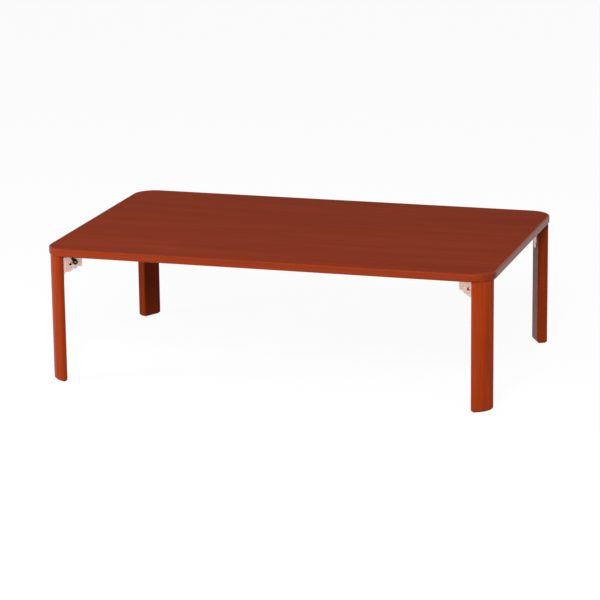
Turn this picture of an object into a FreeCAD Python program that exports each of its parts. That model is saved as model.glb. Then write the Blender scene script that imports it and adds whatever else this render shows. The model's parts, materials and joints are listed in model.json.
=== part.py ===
import FreeCAD, Part

import math
import os

import Sketcher

# A low table that folds flat: a lacquered top with rounded corners on four wooden legs.
# Millimetres. Z is up, X runs along the long side, the front looks along -Y, and the
# origin lies on the floor under the middle of the table.
#
# Each leg folds inwards about a hollow rivet, at an angle to the long side that keeps the
# folded legs clear of each other. The pieces of a corner are drawn in that corner's own
# frame: X runs inwards along the fold, Y runs along the leg's width from its middle, Z is
# up from the floor, and the axis of the top's round corner lies at X zero. The latch with
# its knob sits on the -Y side of every corner.

SIZES = {
    # Tabletop.
    "table_length": 1200.0,
    "table_depth": 750.0,
    "table_height": 360.0,
    "top_thickness": 20.0,
    "corner_radius": 60.0,
    "edge_round": 3.0,
    "lipping_width": 8.0,
    "sheet_thickness": 0.6,
    # Leg and its pad.
    "fold_degrees": 28.0,
    "leg_inset": 3.0,
    "leg_offset": 12.0,
    "leg_width": 61.0,
    "leg_thickness": 30.0,
    "leg_inner_round": 6.0,
    "leg_outer_round": 4.5,
    "leg_end_round": 4.0,
    "leg_top_gap": 0.3,
    "pad_thickness": 2.0,
    "pad_inset": 4.5,
    # Pressed steel, and where the pivot lies in it.
    "steel_thickness": 2.0,
    "bracket_width": 32.0,
    "side_gap": 0.3,
    "running_gap": 0.1,
    "pivot_from_leg": 18.8,
    "pivot_depth": 25.0,
    # Bracket under the top.
    "web_from_leg": 10.0,
    "web_length": 39.5,
    "bend_round": 2.5,
    "boss_radius": 10.5,
    "lobe_radius": 8.0,
    "lobe_ahead": 11.0,
    "lobe_below": 5.5,
    "tab_depth": 32.0,
    "tab_round": 3.0,
    "tab_hole_radius": 2.3,
    "tab_hole_from_end": 7.0,
    "tab_hole_depth": 18.7,
    "bead_height": 0.8,
    "bead_width": 2.4,
    "bead_top_from_end": 16.4,
    "bead_top_depth": 8.5,
    "bead_foot_from_end": 11.2,
    "bead_foot_depth": 20.0,
    # Plate on the leg.
    "eye_radius": 17.5,
    "shoulder_from_leg": 15.5,
    "shoulder_depth": 39.0,
    "shoulder_round": 6.5,
    "tip_from_leg": 9.5,
    "tip_depth": 41.5,
    "tip_round": 5.0,
    "rib_height": 4.5,
    "rib_top_depth": 47.0,
    "rib_foot_depth": 53.0,
    "plate_depth": 76.0,
    "tongue_width": 20.0,
    # Pivot rivet.
    "rivet_radius": 4.0,
    "rivet_head_radius": 5.9,
    "rivet_head_height": 1.9,
    "rivet_bore_radius": 3.1,
    "rivet_bore_depth": 12.0,
    "rivet_roll": 0.8,
    # Latch.
    "latch_reach": 13.5,
    "latch_rise_degrees": 30.0,
    "latch_travel": 2.4,
    "latch_setback": 0.2,
    "latch_hole_gap": 0.3,
    "latch_pin_radius": 2.1,
    "latch_pin_tip": 0.5,
    "latch_pin_proud": 0.4,
    "leaf_length": 14.0,
    "leaf_width": 7.0,
    "leaf_thickness": 0.8,
    "leaf_tail": 3.0,
    "leaf_seat": 3.0,
    "leaf_bend": 3.0,
    "leaf_lean_degrees": 38.0,
    "leaf_rivet_radius": 1.2,
    "leaf_rivet_head_radius": 2.2,
    "leaf_rivet_head_height": 1.0,
    "knob_radius": 7.0,
    "knob_length": 6.0,
    "knob_round": 1.0,
    "knob_neck_radius": 4.0,
    "knob_neck_length": 1.8,
    # Countersunk screws.
    "screw_radius": 1.75,
    "screw_head_radius": 3.4,
    "screw_length": 14.0,
    "screw_tip": 3.0,
    "pilot_spare": 0.5,
    "recess_depth": 1.0,
    "recess_length": 3.6,
    "recess_width": 0.8,
    "base_screw_from_web_end": 8.0,
    "base_screw_pitch": 24.0,
    "base_screw_gauge": 14.0,
    "leg_screw_depth": 46.0,
    "leg_screw_pitch": 16.0,
    "leg_screw_gauge": 13.0,
    # How far a cutting shape runs past what it cuts.
    "overrun": 1.0,
}

CORNERS = {"front_left": (-1, -1), "front_right": (1, -1), "rear_right": (1, 1), "rear_left": (-1, 1)}
FULL_TURN = 360.0
LATCH_SIDE = -1


class Value:
    """A length in millimetres together with the sheet expression that gives it."""

    def __init__(self, number, text):
        self.number = number
        self.text = text

    @staticmethod
    def of(thing):
        return thing if isinstance(thing, Value) else Value(float(thing), repr(float(thing)))

    def __add__(self, other):
        other = Value.of(other)
        return Value(self.number + other.number, f"({self.text} + {other.text})")

    def __sub__(self, other):
        other = Value.of(other)
        return Value(self.number - other.number, f"({self.text} - {other.text})")

    def __mul__(self, other):
        other = Value.of(other)
        return Value(self.number * other.number, f"({self.text} * {other.text})")

    def __truediv__(self, other):
        other = Value.of(other)
        return Value(self.number / other.number, f"({self.text} / {other.text})")

    def __neg__(self):
        return Value(-self.number, f"(-1 * {self.text})")

    __rmul__ = __mul__


def root(value):
    value = Value.of(value)
    return Value(math.sqrt(value.number), f"sqrt({value.text})")


def sine(degrees):
    return Value(math.sin(math.radians(degrees.number)), f"sin({degrees.text})")


def cosine(degrees):
    return Value(math.cos(math.radians(degrees.number)), f"cos({degrees.text})")


class Sizes:
    """The driving dimensions as attributes, each tied to its cell."""

    def __init__(self, doc):
        sheet = doc.addObject("Spreadsheet::Sheet", "Sizes")
        for row, (alias, number) in enumerate(SIZES.items(), start=1):
            sheet.set(f"A{row}", alias)
            sheet.set(f"B{row}", str(number))
            sheet.setAlias(f"B{row}", alias)
            setattr(self, alias, Value(number, f"Sizes.{alias}"))
        doc.recompute()


doc = FreeCAD.newDocument("Table")
size = Sizes(doc)
ZERO = Value.of(0)

# Heights and places that several pieces share.
underside = size.table_height - size.top_thickness
leg_arc = size.corner_radius - size.leg_inset
leg_face = size.leg_thickness - leg_arc
pivot_x = leg_face + size.pivot_from_leg
pivot_z = underside - size.pivot_depth
latch_x = pivot_x + cosine(size.latch_rise_degrees) * size.latch_reach
latch_z = pivot_z + sine(size.latch_rise_degrees) * size.latch_reach
ear_outside = size.bracket_width / 2
ear_inside = ear_outside - size.steel_thickness
flange_outside = ear_inside - size.side_gap
flange_inside = flange_outside - size.steel_thickness
web_start = leg_face + size.web_from_leg
web_end = web_start + size.web_length
web_underside = underside - size.steel_thickness
screw_hole_depth = size.screw_length - size.steel_thickness + size.pilot_spare
leaf_rivet_x = latch_x - sine(size.leaf_lean_degrees) * size.leaf_length
leaf_rivet_z = latch_z + cosine(size.leaf_lean_degrees) * size.leaf_length
knob_start = ear_outside + size.latch_travel + size.leaf_thickness

pieces = []


def bind(thing, name, value):
    """Sets a size of a feature and ties it to the sheet."""
    setattr(thing, name, value.number)
    thing.setExpression(name, value.text)


def new_body(label):
    body = doc.addObject("PartDesign::Body", label)
    body.Label = label
    pieces.append(body)
    return body


def origin_part(body, role):
    return next(part for part in body.Origin.OriginFeatures if part.Role == role)


def place(body, x, y, z, rotation):
    """Puts a body at a point of the table's frame."""
    body.Placement = FreeCAD.Placement(FreeCAD.Vector(x.number, y.number, z.number), rotation)
    for axis, value in (("x", x), ("y", y), ("z", z)):
        body.setExpression(f"Placement.Base.{axis}", value.text)


def on_table(corner, x, y):
    """The table's X and Y of a point given in a corner's frame."""
    side_x, side_y = CORNERS[corner]
    along, across = cosine(size.fold_degrees), sine(size.fold_degrees)
    middle_x = size.table_length / 2 - size.corner_radius - across * size.leg_offset
    middle_y = size.table_depth / 2 - size.corner_radius + along * size.leg_offset
    table_x = side_x * (middle_x - x * along) + side_y * y * across
    table_y = side_y * (middle_y - x * across) - side_x * y * along
    return table_x, table_y


def place_in_corner(body, corner, x=ZERO, y=ZERO, z=ZERO, turn=None):
    """Puts a body in a corner's frame, turned first by its own rotation there."""
    side_x, side_y = CORNERS[corner]
    along, across = cosine(size.fold_degrees), sine(size.fold_degrees)
    heading = math.degrees(math.atan2(-side_y * across.number, -side_x * along.number))
    rotation = FreeCAD.Rotation(FreeCAD.Vector(0, 0, 1), heading)
    if turn is not None:
        rotation = rotation * turn
    place(body, *on_table(corner, x, y), z, rotation)


def new_sketch(body, name, role, offset=ZERO):
    """A sketch on one of the body's own planes, moved along the plane's normal."""
    sketch = body.newObject("Sketcher::SketchObject", name)
    sketch.AttachmentSupport = [(origin_part(body, role), "")]
    sketch.MapMode = "FlatFace"
    sketch.AttachmentOffset = FreeCAD.Placement(FreeCAD.Vector(0, 0, offset.number), FreeCAD.Rotation())
    sketch.setExpression("AttachmentOffset.Base.z", offset.text)
    return sketch


def fix_point(sketch, geometry, point, x, y):
    """Ties a point of a sketch to its distances from the sketch's origin."""
    for kind, value in (("DistanceX", x), ("DistanceY", y)):
        index = sketch.addConstraint(Sketcher.Constraint(kind, -1, 1, geometry, point, value.number))
        sketch.setExpression(f"Constraints[{index}]", value.text)


def fix_radius(sketch, geometry, radius):
    index = sketch.addConstraint(Sketcher.Constraint("Radius", geometry, radius.number))
    sketch.setExpression(f"Constraints[{index}]", radius.text)


def common_tangent(start, end):
    """The straight run between two rounds of a belt, each (x, y, radius).

    A radius above zero turns left, below zero turns right, and zero is a sharp corner.
    """
    dx, dy = end[0] - start[0], end[1] - start[1]
    lean = math.asin((end[2] - start[2]) / math.hypot(dx, dy))
    heading = math.atan2(dy, dx) - lean
    left = FreeCAD.Vector(-math.sin(heading), math.cos(heading), 0)
    return tuple(FreeCAD.Vector(x, y, 0) - left * radius for x, y, radius in (start, end))


def draw_belt(sketch, corners):
    """A closed outline like a belt round pulleys, run anticlockwise.

    Each corner is (x, y) where it is sharp, or (x, y, radius) for a round that both of
    its neighbours touch, with its centre at x, y.
    """
    corners = [corner if len(corner) > 2 else (*corner, ZERO) for corner in corners]
    numbers = [tuple(value.number for value in corner) for corner in corners]
    count = len(corners)
    runs = [common_tangent(numbers[i], numbers[(i + 1) % count]) for i in range(count)]
    lines = [sketch.addGeometry(Part.LineSegment(*run), False) for run in runs]
    for i, (x, y, radius) in enumerate(corners):
        before, after = lines[i - 1], lines[i]
        if radius.number == 0:
            sketch.addConstraint(Sketcher.Constraint("Coincident", before, 2, after, 1))
            fix_point(sketch, after, 1, x, y)
            continue
        centre = FreeCAD.Vector(x.number, y.number, 0)
        first, last = runs[i - 1][1] - centre, runs[i][0] - centre
        ends = [math.atan2(point.y, point.x) for point in (first, last)]
        turns_left = radius.number > 0
        if not turns_left:
            ends.reverse()
        circle = Part.Circle(centre, FreeCAD.Vector(0, 0, 1), abs(radius.number))
        arc = sketch.addGeometry(Part.ArcOfCircle(circle, *ends), False)
        first_end, last_end = (1, 2) if turns_left else (2, 1)
        sketch.addConstraint(Sketcher.Constraint("Tangent", before, 2, arc, first_end))
        sketch.addConstraint(Sketcher.Constraint("Tangent", after, 1, arc, last_end))
        fix_point(sketch, arc, 3, x, y)
        fix_radius(sketch, arc, radius if turns_left else -radius)


def draw_box(sketch, low_x, low_y, high_x, high_y):
    draw_belt(sketch, [(low_x, low_y), (high_x, low_y), (high_x, high_y), (low_x, high_y)])


def draw_rounded_box(sketch, length, width, radius):
    """A box about the sketch's origin with four round corners."""
    x, y = length / 2 - radius, width / 2 - radius
    draw_belt(sketch, [(-x, -y, radius), (x, -y, radius), (x, y, radius), (-x, y, radius)])


def draw_circles(sketch, spots, radius):
    for x, y in spots:
        centre = FreeCAD.Vector(x.number, y.number, 0)
        circle = Part.Circle(centre, FreeCAD.Vector(0, 0, 1), radius.number)
        geometry = sketch.addGeometry(circle, False)
        fix_point(sketch, geometry, 3, x, y)
        fix_radius(sketch, geometry, radius)


def extrude(body, kind, sketch, length, side="One side", backwards=False):
    """Pads or pockets a sketch."""
    feature = body.newObject(f"PartDesign::{kind}", kind)
    feature.Profile = sketch
    feature.SideType = side
    bind(feature, "Length", length)
    feature.Reversed = backwards
    sketch.Visibility = False
    return feature


def pad(body, sketch, length, side="One side", backwards=False):
    return extrude(body, "Pad", sketch, length, side, backwards)


def pocket(body, sketch, length, side="One side", backwards=False):
    """Cuts a sketch away, and checks that it really took something off."""
    doc.recompute()
    before = body.Shape.Volume
    feature = extrude(body, "Pocket", sketch, length, side, backwards)
    doc.recompute()
    if not body.Shape.Volume < before:
        raise RuntimeError(f"{body.Label}: a pocket cut nothing")
    return feature


def fillet(body, radius, wanted):
    """Rounds the edges for which wanted(edge) is true."""
    doc.recompute()
    base = body.Tip
    names = [f"Edge{i}" for i, edge in enumerate(base.Shape.Edges, start=1) if wanted(edge)]
    if not names:
        raise RuntimeError(f"{body.Label}: no edge to round")
    feature = body.newObject("PartDesign::Fillet", "Fillet")
    feature.Base = (base, names)
    bind(feature, "Radius", radius)
    doc.recompute()
    if "Invalid" in feature.State:
        raise RuntimeError(f"{body.Label}: the fillet on {names} failed")
    return feature


def revolve(body, sketch):
    """Turns a profile about the sketch's own vertical axis."""
    feature = body.newObject("PartDesign::Revolution", "Revolution")
    feature.Profile = sketch
    feature.ReferenceAxis = (sketch, ["V_Axis"])
    feature.Angle = FULL_TURN
    return feature


def near(number, value):
    return math.isclose(number, value.number, abs_tol=size.running_gap.number / 2)


def runs_along(edge, axis):
    """True for a straight edge along x, y or z of the body's own frame."""
    if not isinstance(edge.Curve, (Part.Line, Part.LineSegment)):
        return False
    box = edge.BoundBox
    lengths = {"x": box.XLength, "y": box.YLength, "z": box.ZLength}
    return math.isclose(lengths[axis], edge.Length, rel_tol=0, abs_tol=size.running_gap.number / 100)


def screw_spots():
    """Where the bracket's screws lie in a corner's frame."""
    first = web_start + size.base_screw_from_web_end
    half = size.base_screw_gauge / 2
    return [(x, y) for x in (first, first + size.base_screw_pitch) for y in (-half, half)]


def board_spots():
    """The same spots of all corners, in the table's frame."""
    return [on_table(corner, x, y) for corner in CORNERS for x, y in screw_spots()]


# The top: board, solid lipping round it, a face sheet and a back sheet.


def make_top_core():
    body = new_body("top_core")
    sketch = new_sketch(body, "CoreOutline", "XY_Plane")
    length = size.table_length - size.lipping_width * 2
    width = size.table_depth - size.lipping_width * 2
    draw_rounded_box(sketch, length, width, size.corner_radius - size.lipping_width)
    pad(body, sketch, size.top_thickness - size.sheet_thickness * 2)
    pilots = new_sketch(body, "PilotHoles", "XY_Plane")
    draw_circles(pilots, board_spots(), size.screw_radius)
    pocket(body, pilots, screw_hole_depth - size.sheet_thickness, backwards=True)
    place(body, ZERO, ZERO, underside + size.sheet_thickness, FreeCAD.Rotation())


def make_edge_lipping():
    body = new_body("edge_lipping")
    outline = new_sketch(body, "LippingOutline", "XY_Plane")
    draw_rounded_box(outline, size.table_length, size.table_depth, size.corner_radius)
    pad(body, outline, size.top_thickness)
    fillet(body, size.edge_round, lambda edge: edge.BoundBox.ZLength < size.edge_round.number)
    inside = new_sketch(body, "BoardOpening", "XY_Plane")
    length = size.table_length - size.lipping_width * 2
    width = size.table_depth - size.lipping_width * 2
    draw_rounded_box(inside, length, width, size.corner_radius - size.lipping_width)
    pocket(body, inside, size.top_thickness, backwards=True)
    for name, height in (("BackRebate", ZERO), ("FaceRebate", size.top_thickness)):
        rebate = new_sketch(body, name, "XY_Plane", height)
        draw_sheet_outline(rebate)
        pocket(body, rebate, size.sheet_thickness, backwards=height is ZERO)
    place(body, ZERO, ZERO, underside, FreeCAD.Rotation())


def draw_sheet_outline(sketch):
    """The face and back sheets end where the edge begins to round over."""
    length = size.table_length - size.edge_round * 2
    width = size.table_depth - size.edge_round * 2
    draw_rounded_box(sketch, length, width, size.corner_radius - size.edge_round)


def make_sheet(label, height, holes):
    body = new_body(label)
    sketch = new_sketch(body, "SheetOutline", "XY_Plane")
    draw_sheet_outline(sketch)
    draw_circles(sketch, holes, size.screw_radius)
    pad(body, sketch, size.sheet_thickness)
    place(body, ZERO, ZERO, height, FreeCAD.Rotation())


# The leg: flat inside, and bowed outside to follow the corner of the top. Its middle lies
# off the axis of that corner, towards the long side, so one of its ends is thinner.


def draw_bowed_outline(sketch, corner, inset):
    """The leg's section, drawn smaller all round by the inset."""
    side_x, side_y = CORNERS[corner]
    centre_y = side_x * side_y * size.leg_offset
    half = size.leg_width / 2 - inset
    radius = leg_arc - inset
    face = leg_face - inset
    shoulders = []
    for y in (half, -half):
        off_centre = y - centre_y
        shoulders.append((-root(radius * radius - off_centre * off_centre), y))
    inner = [shoulders[0], (face, half), (face, -half), shoulders[1]]
    ends = [FreeCAD.Vector(x.number, y.number, 0) for x, y in inner]
    lines = [sketch.addGeometry(Part.LineSegment(ends[i], ends[i + 1]), False) for i in range(3)]
    for line, (x, y) in zip(lines, inner):
        fix_point(sketch, line, 1, x, y)
    fix_point(sketch, lines[-1], 2, *inner[-1])
    for line, following in zip(lines, lines[1:]):
        sketch.addConstraint(Sketcher.Constraint("Coincident", line, 2, following, 1))
    centre = FreeCAD.Vector(0, centre_y.number, 0)
    circle = Part.Circle(centre, FreeCAD.Vector(0, 0, 1), radius.number)
    start, end = (math.atan2(point.y - centre.y, point.x) for point in (ends[0], ends[-1]))
    arc = sketch.addGeometry(Part.ArcOfCircle(circle, start, end), False)
    sketch.addConstraint(Sketcher.Constraint("Coincident", arc, 1, lines[0], 1))
    sketch.addConstraint(Sketcher.Constraint("Coincident", arc, 2, lines[-1], 2))
    fix_radius(sketch, arc, radius)


def make_leg(corner):
    body = new_body(f"leg_{corner}")
    section = new_sketch(body, "LegSection", "XY_Plane", size.pad_thickness)
    draw_bowed_outline(section, corner, ZERO)
    pad(body, section, underside - size.leg_top_gap - size.pad_thickness)
    fillet(
        body,
        size.leg_outer_round,
        lambda edge: runs_along(edge, "z") and not near(edge.CenterOfMass.x, leg_face),
    )
    fillet(
        body,
        size.leg_inner_round,
        lambda edge: runs_along(edge, "z") and near(edge.CenterOfMass.x, leg_face),
    )
    fillet(body, size.leg_end_round, lambda edge: near(edge.BoundBox.ZMax, size.pad_thickness))
    pilots = new_sketch(body, "PilotHoles", "YZ_Plane", leg_face)
    draw_circles(pilots, leg_screw_spots(), size.screw_radius)
    pocket(body, pilots, screw_hole_depth)
    place_in_corner(body, corner)


def make_foot_pad(corner):
    body = new_body(f"foot_pad_{corner}")
    section = new_sketch(body, "PadSection", "XY_Plane")
    draw_bowed_outline(section, corner, size.pad_inset)
    pad(body, section, size.pad_thickness)
    place_in_corner(body, corner)


def leg_screw_spots():
    """Where the leg plate's screws lie, as Y and Z of a corner's frame."""
    half = size.leg_screw_gauge / 2
    top = underside - size.leg_screw_depth
    return [(y, z) for z in (top, top - size.leg_screw_pitch) for y in (-half, half)]


# The leg plate: a bent plate whose two flanges carry the pivot.


def make_leg_plate(corner):
    body = new_body(f"leg_plate_{corner}")
    plate_top = pivot_z + size.eye_radius
    rib_foot = underside - size.rib_foot_depth
    back = leg_face + size.steel_thickness
    rib = leg_face + size.rib_height
    side = new_sketch(body, "SideOutline", "XZ_Plane")
    draw_belt(
        side,
        [
            (leg_face, rib_foot),
            (back, rib_foot),
            (rib, rib_foot + size.rib_height - size.steel_thickness),
            (rib, underside - size.rib_top_depth),
            (leg_face + size.tip_from_leg, underside - size.tip_depth, size.tip_round),
            (leg_face + size.shoulder_from_leg, underside - size.shoulder_depth, size.shoulder_round),
            (pivot_x, pivot_z, size.eye_radius),
            (leg_face, plate_top),
        ],
    )
    pad(body, side, flange_outside * 2, "Symmetric")
    hollow = new_sketch(body, "Hollow", "XZ_Plane")
    reach = pivot_x + size.eye_radius + size.overrun
    draw_box(hollow, back, rib_foot - size.overrun, reach, underside)
    pocket(body, hollow, flange_inside * 2, "Symmetric")
    plate = new_sketch(body, "PlateOutline", "YZ_Plane", leg_face)
    end_round = size.tongue_width / 2
    draw_belt(
        plate,
        [
            (-flange_outside, plate_top),
            (-flange_outside, rib_foot),
            (ZERO, underside - size.plate_depth + end_round, end_round),
            (flange_outside, rib_foot),
            (flange_outside, plate_top),
        ],
    )
    pad(body, plate, size.steel_thickness)
    pivot = new_sketch(body, "PivotHoles", "XZ_Plane")
    draw_circles(pivot, [(pivot_x, pivot_z)], size.rivet_radius + size.running_gap)
    pocket(body, pivot, flange_outside * 2 + size.overrun, "Symmetric")
    play = size.latch_pin_radius + size.latch_hole_gap
    latch = new_sketch(body, "LatchHole", "XZ_Plane")
    draw_circles(latch, [(latch_x, latch_z)], play)
    pocket(body, latch, flange_outside + size.overrun, backwards=True)
    notch = new_sketch(body, "FoldedNotch", "XZ_Plane")
    inner = turned_back(size.latch_reach)
    outer = turned_back(size.latch_reach + size.eye_radius)
    draw_belt(notch, [(*inner, play), (*outer, play)])
    pocket(body, notch, flange_outside + size.overrun, backwards=True)
    cut_countersinks(body, "YZ_Plane", leg_screw_spots(), leg_face, False)
    place_in_corner(body, corner)


def turned_back(reach):
    """The point of the flange that comes to the latch when the leg is folded."""
    x = pivot_x + sine(size.latch_rise_degrees) * reach
    z = pivot_z - cosine(size.latch_rise_degrees) * reach
    return x, z


def cut_countersinks(body, role, spots, start, backwards):
    """Screw holes through a sheet, coned out to the head's size on the far face."""
    sketch = new_sketch(body, "ScrewHoles", role, start)
    draw_circles(sketch, spots, size.screw_radius)
    feature = pocket(body, sketch, size.steel_thickness, backwards=not backwards)
    spread = math.atan2(size.screw_head_radius.number - size.screw_radius.number, size.steel_thickness.number)
    feature.TaperAngle = math.degrees(spread)
    feature.setExpression(
        "TaperAngle",
        "atan((Sizes.screw_head_radius - Sizes.screw_radius) / Sizes.steel_thickness)",
    )


# The bracket under the top: a channel with two ears.


def make_base_bracket(corner):
    body = new_body(f"base_bracket_{corner}")
    ear = new_sketch(body, "EarOutline", "XZ_Plane")
    lobe_x = pivot_x + size.lobe_ahead
    draw_belt(
        ear,
        [
            (web_start, underside),
            (pivot_x, pivot_z, size.boss_radius),
            (lobe_x, pivot_z - size.lobe_below, size.lobe_radius),
            (lobe_x + size.lobe_radius, underside),
        ],
    )
    pad(body, ear, size.bracket_width, "Symmetric")
    tab = new_sketch(body, "TabOutline", "XZ_Plane")
    tab_bottom = underside - size.tab_depth
    draw_belt(
        tab,
        [
            (pivot_x, underside),
            (lobe_x, tab_bottom),
            (web_end - size.tab_round, tab_bottom + size.tab_round, size.tab_round),
            (web_end, underside),
        ],
    )
    pad(body, tab, size.bracket_width, "Symmetric")
    bead = new_sketch(body, "StiffeningBead", "XZ_Plane")
    ends = (
        (size.bead_top_from_end, size.bead_top_depth),
        (size.bead_foot_from_end, size.bead_foot_depth),
    )
    draw_belt(bead, [(web_end - x, underside - depth, size.bead_width / 2) for x, depth in ends])
    pad(body, bead, size.bracket_width + size.bead_height * 2, "Symmetric")
    hollow = new_sketch(body, "Hollow", "XZ_Plane")
    lowest = pivot_z - size.lobe_below - size.lobe_radius - size.overrun
    draw_box(hollow, leg_face, lowest, web_end + size.overrun, web_underside)
    pocket(body, hollow, ear_inside * 2, "Symmetric")
    fillet(
        body,
        size.bend_round,
        lambda edge: runs_along(edge, "x")
        and near(edge.CenterOfMass.z, underside)
        and near(abs(edge.CenterOfMass.y), ear_outside),
    )
    pivot = new_sketch(body, "PivotHoles", "XZ_Plane")
    draw_circles(pivot, [(pivot_x, pivot_z)], size.rivet_radius)
    pocket(body, pivot, size.bracket_width + size.overrun, "Symmetric")
    tab_hole = new_sketch(body, "TabHoles", "XZ_Plane")
    spot = (web_end - size.tab_hole_from_end, underside - size.tab_hole_depth)
    draw_circles(tab_hole, [spot], size.tab_hole_radius)
    pocket(body, tab_hole, size.bracket_width + size.overrun, "Symmetric")
    latch = new_sketch(body, "LatchHole", "XZ_Plane")
    draw_circles(latch, [(latch_x, latch_z)], size.latch_pin_radius + size.running_gap)
    pocket(body, latch, ear_outside + size.overrun, backwards=True)
    small = new_sketch(body, "LeafRivetHole", "XZ_Plane")
    draw_circles(small, [(leaf_rivet_x, leaf_rivet_z)], size.leaf_rivet_radius)
    pocket(body, small, ear_outside + size.overrun, backwards=True)
    cut_countersinks(body, "XY_Plane", screw_spots(), underside, True)
    place_in_corner(body, corner)


# Screws: a countersunk head with a cross recess, a shank and a point.


def make_screws(label, corner, x, y, z, turn, pitch, gauge):
    """Four screws in two rows, drawn with the head's face at the body's origin."""
    body = new_body(label)
    profile = new_sketch(body, "ScrewProfile", "XZ_Plane")
    draw_belt(
        profile,
        [
            (ZERO, ZERO),
            (size.screw_head_radius, ZERO),
            (size.screw_radius, size.steel_thickness),
            (size.screw_radius, size.screw_length - size.screw_tip),
            (ZERO, size.screw_length),
        ],
    )
    features = [revolve(body, profile)]
    half_length, half_width = size.recess_length / 2, size.recess_width / 2
    for name, across, along in (("RecessX", half_length, half_width), ("RecessY", half_width, half_length)):
        slot = new_sketch(body, name, "XY_Plane")
        draw_box(slot, -across, -along, across, along)
        features.append(pocket(body, slot, size.recess_depth, backwards=True))
    pattern = body.newObject("PartDesign::LinearPattern", "Rows")
    pattern.Originals = features
    pattern.Direction = (origin_part(body, "X_Axis"), [""])
    pattern.Occurrences = 2
    bind(pattern, "Length", pitch)
    pattern.Direction2 = (origin_part(body, "Y_Axis"), [""])
    pattern.Occurrences2 = 2
    bind(pattern, "Length2", gauge)
    body.Tip = pattern
    place_in_corner(body, corner, x, y, z, turn)


def make_base_screws(corner):
    x, y = screw_spots()[0]
    label = f"base_screws_{corner}"
    make_screws(label, corner, x, y, web_underside, None, size.base_screw_pitch, size.base_screw_gauge)


def make_leg_screws(corner):
    y, z = leg_screw_spots()[-2]
    into_leg = FreeCAD.Rotation(FreeCAD.Vector(0, 1, 0), -90)
    x = leg_face + size.steel_thickness
    label = f"leg_screws_{corner}"
    make_screws(label, corner, x, y, z, into_leg, size.leg_screw_pitch, size.leg_screw_gauge)


# Turned pieces on the ears: their own Z runs out of the ear on the latch's side.

OUT_OF_EAR = FreeCAD.Rotation(FreeCAD.Vector(1, 0, 0), 90)


def make_turned(label, corner, x, z, profile):
    body = new_body(label)
    sketch = new_sketch(body, "Profile", "XZ_Plane")
    draw_belt(sketch, profile)
    revolve(body, sketch)
    place_in_corner(body, corner, x, ZERO, z, OUT_OF_EAR)
    return body


def make_pivot_pin(corner):
    """A hollow rivet whose two ends are rolled over the ears."""
    end = ear_outside + size.rivet_head_height
    floor = end - size.rivet_bore_depth
    head, roll, bore = size.rivet_head_radius, size.rivet_roll, size.rivet_bore_radius
    profile = [
        (ZERO, -floor),
        (bore, -floor),
        (bore, -end),
        (head - roll, roll - end, roll),
        (head, -ear_outside),
        (size.rivet_radius, -ear_outside),
        (size.rivet_radius, ear_outside),
        (head, ear_outside),
        (head - roll, end - roll, roll),
        (bore, end),
        (bore, floor),
        (ZERO, floor),
    ]
    make_turned(f"pivot_pin_{corner}", corner, pivot_x, pivot_z, profile)


def make_leaf_spring(corner):
    """A strip riveted to the ear at one end and lifted by the drawn latch at the other."""
    body = new_body(f"leaf_spring_{corner}")
    tail = size.leaf_length + size.leaf_tail
    seat = size.leaf_length - size.leaf_seat
    tip = -(size.leaf_width / 2)
    free = size.leaf_width / 2
    lift, thick = size.latch_travel, size.leaf_thickness
    side = new_sketch(body, "LeafOutline", "XY_Plane")
    draw_belt(
        side,
        [
            (tip, -(lift + thick)),
            (free, -(lift + thick)),
            (seat, -thick),
            (tail, -thick),
            (tail, ZERO),
            (seat - size.leaf_bend / 2, ZERO),
            (free - size.leaf_bend / 2, -lift),
            (tip, -lift),
        ],
    )
    pad(body, side, size.leaf_width, "Symmetric")
    end_round = size.leaf_width / 2 - size.side_gap
    fillet(body, end_round, lambda edge: runs_along(edge, "y") and near(edge.CenterOfMass.x, tip))
    holes = new_sketch(body, "PinHole", "XZ_Plane")
    draw_circles(holes, [(ZERO, ZERO)], size.latch_pin_radius + size.running_gap)
    pocket(body, holes, lift + thick + size.overrun, backwards=True)
    rivet = new_sketch(body, "RivetHole", "XZ_Plane")
    draw_circles(rivet, [(size.leaf_length, ZERO)], size.leaf_rivet_radius)
    pocket(body, rivet, thick + size.overrun, backwards=True)
    lean = FreeCAD.Rotation(FreeCAD.Vector(0, 1, 0), -90 - size.leaf_lean_degrees.number)
    place_in_corner(body, corner, latch_x, LATCH_SIDE * ear_outside, latch_z, lean)


def make_spring_rivet(corner):
    head = ear_outside + size.leaf_thickness
    end = head + size.leaf_rivet_head_height
    radius = size.leaf_rivet_head_radius
    dome = size.leaf_rivet_head_height / 2
    profile = [
        (ZERO, ear_inside),
        (size.leaf_rivet_radius, ear_inside),
        (size.leaf_rivet_radius, head),
        (radius, head),
        (radius - dome, end - dome, dome),
        (ZERO, end),
    ]
    make_turned(f"spring_rivet_{corner}", corner, leaf_rivet_x, leaf_rivet_z, profile)


def make_lock_pin(corner):
    tip = ear_inside + size.latch_setback
    end = knob_start + size.knob_neck_length + size.knob_length + size.latch_pin_proud
    radius, slope = size.latch_pin_radius, size.latch_pin_tip
    profile = [
        (ZERO, tip),
        (radius - slope, tip),
        (radius, tip + slope),
        (radius, end - size.latch_pin_proud),
        (radius - size.latch_pin_proud, end),
        (ZERO, end),
    ]
    make_turned(f"lock_pin_{corner}", corner, latch_x, latch_z, profile)


def make_release_knob(corner):
    neck_end = knob_start + size.knob_neck_length
    end = neck_end + size.knob_length
    edge = size.knob_round
    profile = [
        (size.latch_pin_radius, knob_start),
        (size.knob_neck_radius, knob_start),
        (size.knob_neck_radius, neck_end),
        (size.knob_radius - edge, neck_end + edge, edge),
        (size.knob_radius - edge, end - edge, edge),
        (size.latch_pin_radius, end),
    ]
    make_turned(f"release_knob_{corner}", corner, latch_x, latch_z, profile)


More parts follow.
